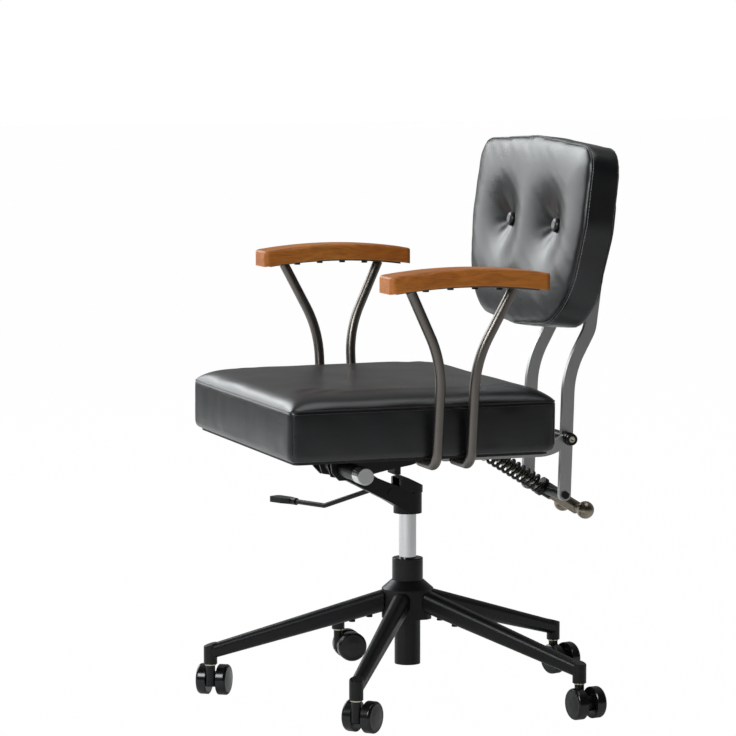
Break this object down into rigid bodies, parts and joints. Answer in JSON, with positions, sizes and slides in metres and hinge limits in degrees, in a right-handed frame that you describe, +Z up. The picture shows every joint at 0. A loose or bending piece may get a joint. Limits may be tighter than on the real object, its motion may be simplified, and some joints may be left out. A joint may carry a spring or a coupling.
{
  "type": "office chair",
  "caption": "Retro swivel office chair with leather seat and tufted back, arched wooden arm pads on bent tubes, exposed recline spring, gas lift and castered star base.",
  "frame": {"origin": "on the floor, on the axis of the lift column", "axes": "+Z up, the chair faces -Y, +X to the sitter's left"},
  "size_m": [0.6806, 0.666, 0.9053],
  "materials": {
    "black_paint": "satin black paint",
    "black_plastic": "smooth black",
    "caster_tread": "gloss black nylon",
    "zinc_steel": "zinc plated",
    "chrome": "polished",
    "spring_steel": "black oxide",
    "pewter": "antique pewter",
    "satin_steel": "satin lacquered",
    "gunmetal": "warm gunmetal",
    "teak": "oiled",
    "plywood": "black stained",
    "black_leather": "semi-gloss"
  },
  "bodies": {
    "base": {"base_hub": "black_paint", "leg_1": "black_paint", "leg_2": "black_paint", "leg_3": "black_paint", "leg_4": "black_paint", "leg_5": "black_paint", "leg_screws": "black_paint", "caster_stems": "zinc_steel", "column_tube": "black_paint", "column_bush": "black_plastic", "thrust_bearing": "zinc_steel"},
    "piston": {"lift_rod": "zinc_steel"},
    "mechanism": {"gas_cylinder": "chrome", "tilt_channel": "black_paint", "mechanism_cover": "black_plastic", "torsion_tube": "black_paint", "torsion_caps": "chrome"},
    "lever": {"height_lever": "black_paint", "lever_paddle": "black_plastic"},
    "pin": {"release_pin": "zinc_steel"},
    "seat": {"seat_board": "plywood", "seat_cushion": "black_leather", "seat_bracket": "black_paint", "rear_arm_left": "satin_steel", "rear_arm_right": "satin_steel", "pivot_shaft": "zinc_steel", "pivot_bushes": "black_plastic", "rod_anchor": "black_paint", "anchor_pin": "zinc_steel", "arm_tube_front_left": "gunmetal", "arm_tube_front_right": "gunmetal", "arm_tube_rear_left": "gunmetal", "arm_tube_rear_right": "gunmetal", "arm_strap_left": "gunmetal", "arm_strap_right": "gunmetal", "arm_pad_left": "teak", "arm_pad_right": "teak", "arm_screws": "black_paint"},
    "back": {"back_bar_left": "satin_steel", "back_bar_right": "satin_steel", "back_cross_tube": "black_paint", "back_board": "plywood", "back_cushion": "black_leather", "back_buttons": "black_leather"},
    "trunnion": {"trunnion": "black_paint", "trunnion_bolts": "black_paint"},
    "rod": {"tension_rod": "zinc_steel", "spring": "spring_steel"},
    "tee": {"tension_nut": "pewter", "tee_bar": "pewter"},
    "caster_1": {"caster_1_hood": "black_plastic"},
    "caster_1_wheelset": {"caster_1_wheels": "caster_tread"},
    "caster_2": {"caster_2_hood": "black_plastic"},
    "caster_2_wheelset": {"caster_2_wheels": "caster_tread"},
    "caster_3": {"caster_3_hood": "black_plastic"},
    "caster_3_wheelset": {"caster_3_wheels": "caster_tread"},
    "caster_4": {"caster_4_hood": "black_plastic"},
    "caster_4_wheelset": {"caster_4_wheels": "caster_tread"},
    "caster_5": {"caster_5_hood": "black_plastic"},
    "caster_5_wheelset": {"caster_5_wheels": "caster_tread"}
  },
  "joints": [
    {"name": "seat_swivel", "type": "hinge", "parent": "base", "child": "piston", "pos_m": [0, 0, 0.06], "axis": [0, 0, 1], "continuous": true},
    {"name": "seat_lift", "type": "slide", "parent": "piston", "child": "mechanism", "axis": [0, 0, 1], "range_m": [-0.065, 0.035]},
    {"name": "height_lever", "type": "hinge", "parent": "mechanism", "child": "lever", "pos_m": [-0.023, -0.05, 0.337], "axis": [0, 1, 0], "range_deg": [0, 7], "stiffness_Nm_per_rad": 3, "springref_deg": -11.46},
    {"name": "release_pin", "type": "slide", "parent": "mechanism", "child": "pin", "axis": [0, 0, -1], "range_m": [0, 0.0036]},
    {"name": "seat_tilt", "type": "hinge", "parent": "mechanism", "child": "seat", "pos_m": [0, -0.125, 0.382], "axis": [-1, 0, 0], "range_deg": [0, 8], "stiffness_Nm_per_rad": 200, "springref_deg": -20.05},
    {"name": "back_recline", "type": "hinge", "parent": "seat", "child": "back", "pos_m": [0, 0.2445, 0.4195], "axis": [-1, 0, 0], "range_deg": [0, 15], "stiffness_Nm_per_rad": 60, "springref_deg": -22.92, "deforming": ["spring"]},
    {"name": "rod_swing", "type": "hinge", "parent": "seat", "child": "rod", "pos_m": [0, 0.12404, 0.39964], "axis": [-1, 0, 0], "range_deg": [0, 5.5]},
    {"name": "trunnion_turn", "type": "hinge", "parent": "back", "child": "trunnion", "pos_m": [0, 0.242, 0.3265], "axis": [-1, 0, 0], "range_deg": [-12, 0]},
    {"name": "tension_turn", "type": "hinge", "parent": "rod", "child": "tee", "pos_m": [0, 0.29257, 0.29515], "axis": [0, 0.8499, -0.527], "continuous": true},
    {"name": "caster_1_swivel", "type": "hinge", "parent": "base", "child": "caster_1", "pos_m": [-0.09142, -0.30666, 0.054], "axis": [0, 0, 1], "continuous": true},
    {"name": "caster_1_roll", "type": "hinge", "parent": "caster_1", "child": "caster_1_wheelset", "pos_m": [-0.108, -0.29548, 0.025], "axis": [-0.5592, -0.829, 0], "continuous": true},
    {"name": "caster_2_swivel", "type": "hinge", "parent": "base", "child": "caster_2", "pos_m": [0.2634, -0.18171, 0.054], "axis": [0, 0, 1], "continuous": true},
    {"name": "caster_2_roll", "type": "hinge", "parent": "caster_2", "child": "caster_2_wheelset", "pos_m": [0.25002, -0.16685, 0.025], "axis": [-0.7431, -0.6691, 0], "continuous": true},
    {"name": "caster_3_swivel", "type": "hinge", "parent": "base", "child": "caster_3", "pos_m": [0.25421, 0.19436, 0.054], "axis": [0, 0, 1], "continuous": true},
    {"name": "caster_3_roll", "type": "hinge", "parent": "caster_3", "child": "caster_3_wheelset", "pos_m": [0.27402, 0.19714, 0.025], "axis": [-0.1392, 0.9903, 0], "continuous": true},
    {"name": "caster_4_swivel", "type": "hinge", "parent": "base", "child": "caster_4", "pos_m": [-0.10629, 0.30183, 0.054], "axis": [0, 0, 1], "continuous": true},
    {"name": "caster_4_roll", "type": "hinge", "parent": "caster_4", "child": "caster_4_wheelset", "pos_m": [-0.08707, 0.30734, 0.025], "axis": [-0.2756, 0.9613, 0], "continuous": true},
    {"name": "caster_5_swivel", "type": "hinge", "parent": "base", "child": "caster_5", "pos_m": [-0.3199, -0.00782, 0.054], "axis": [0, 0, 1], "continuous": true},
    {"name": "caster_5_roll", "type": "hinge", "parent": "caster_5", "child": "caster_5_wheelset", "pos_m": [-0.31816, 0.01211, 0.025], "axis": [-0.9962, 0.0872, 0], "continuous": true}
  ],
  "couplings": [
    {"joint": "release_pin", "follows": "height_lever", "m_per_rad": 0.023},
    {"joint": "rod_swing", "follows": "back_recline", "ratio": 0.313},
    {"joint": "trunnion_turn", "follows": "back_recline", "ratio": -0.687}
  ]
}
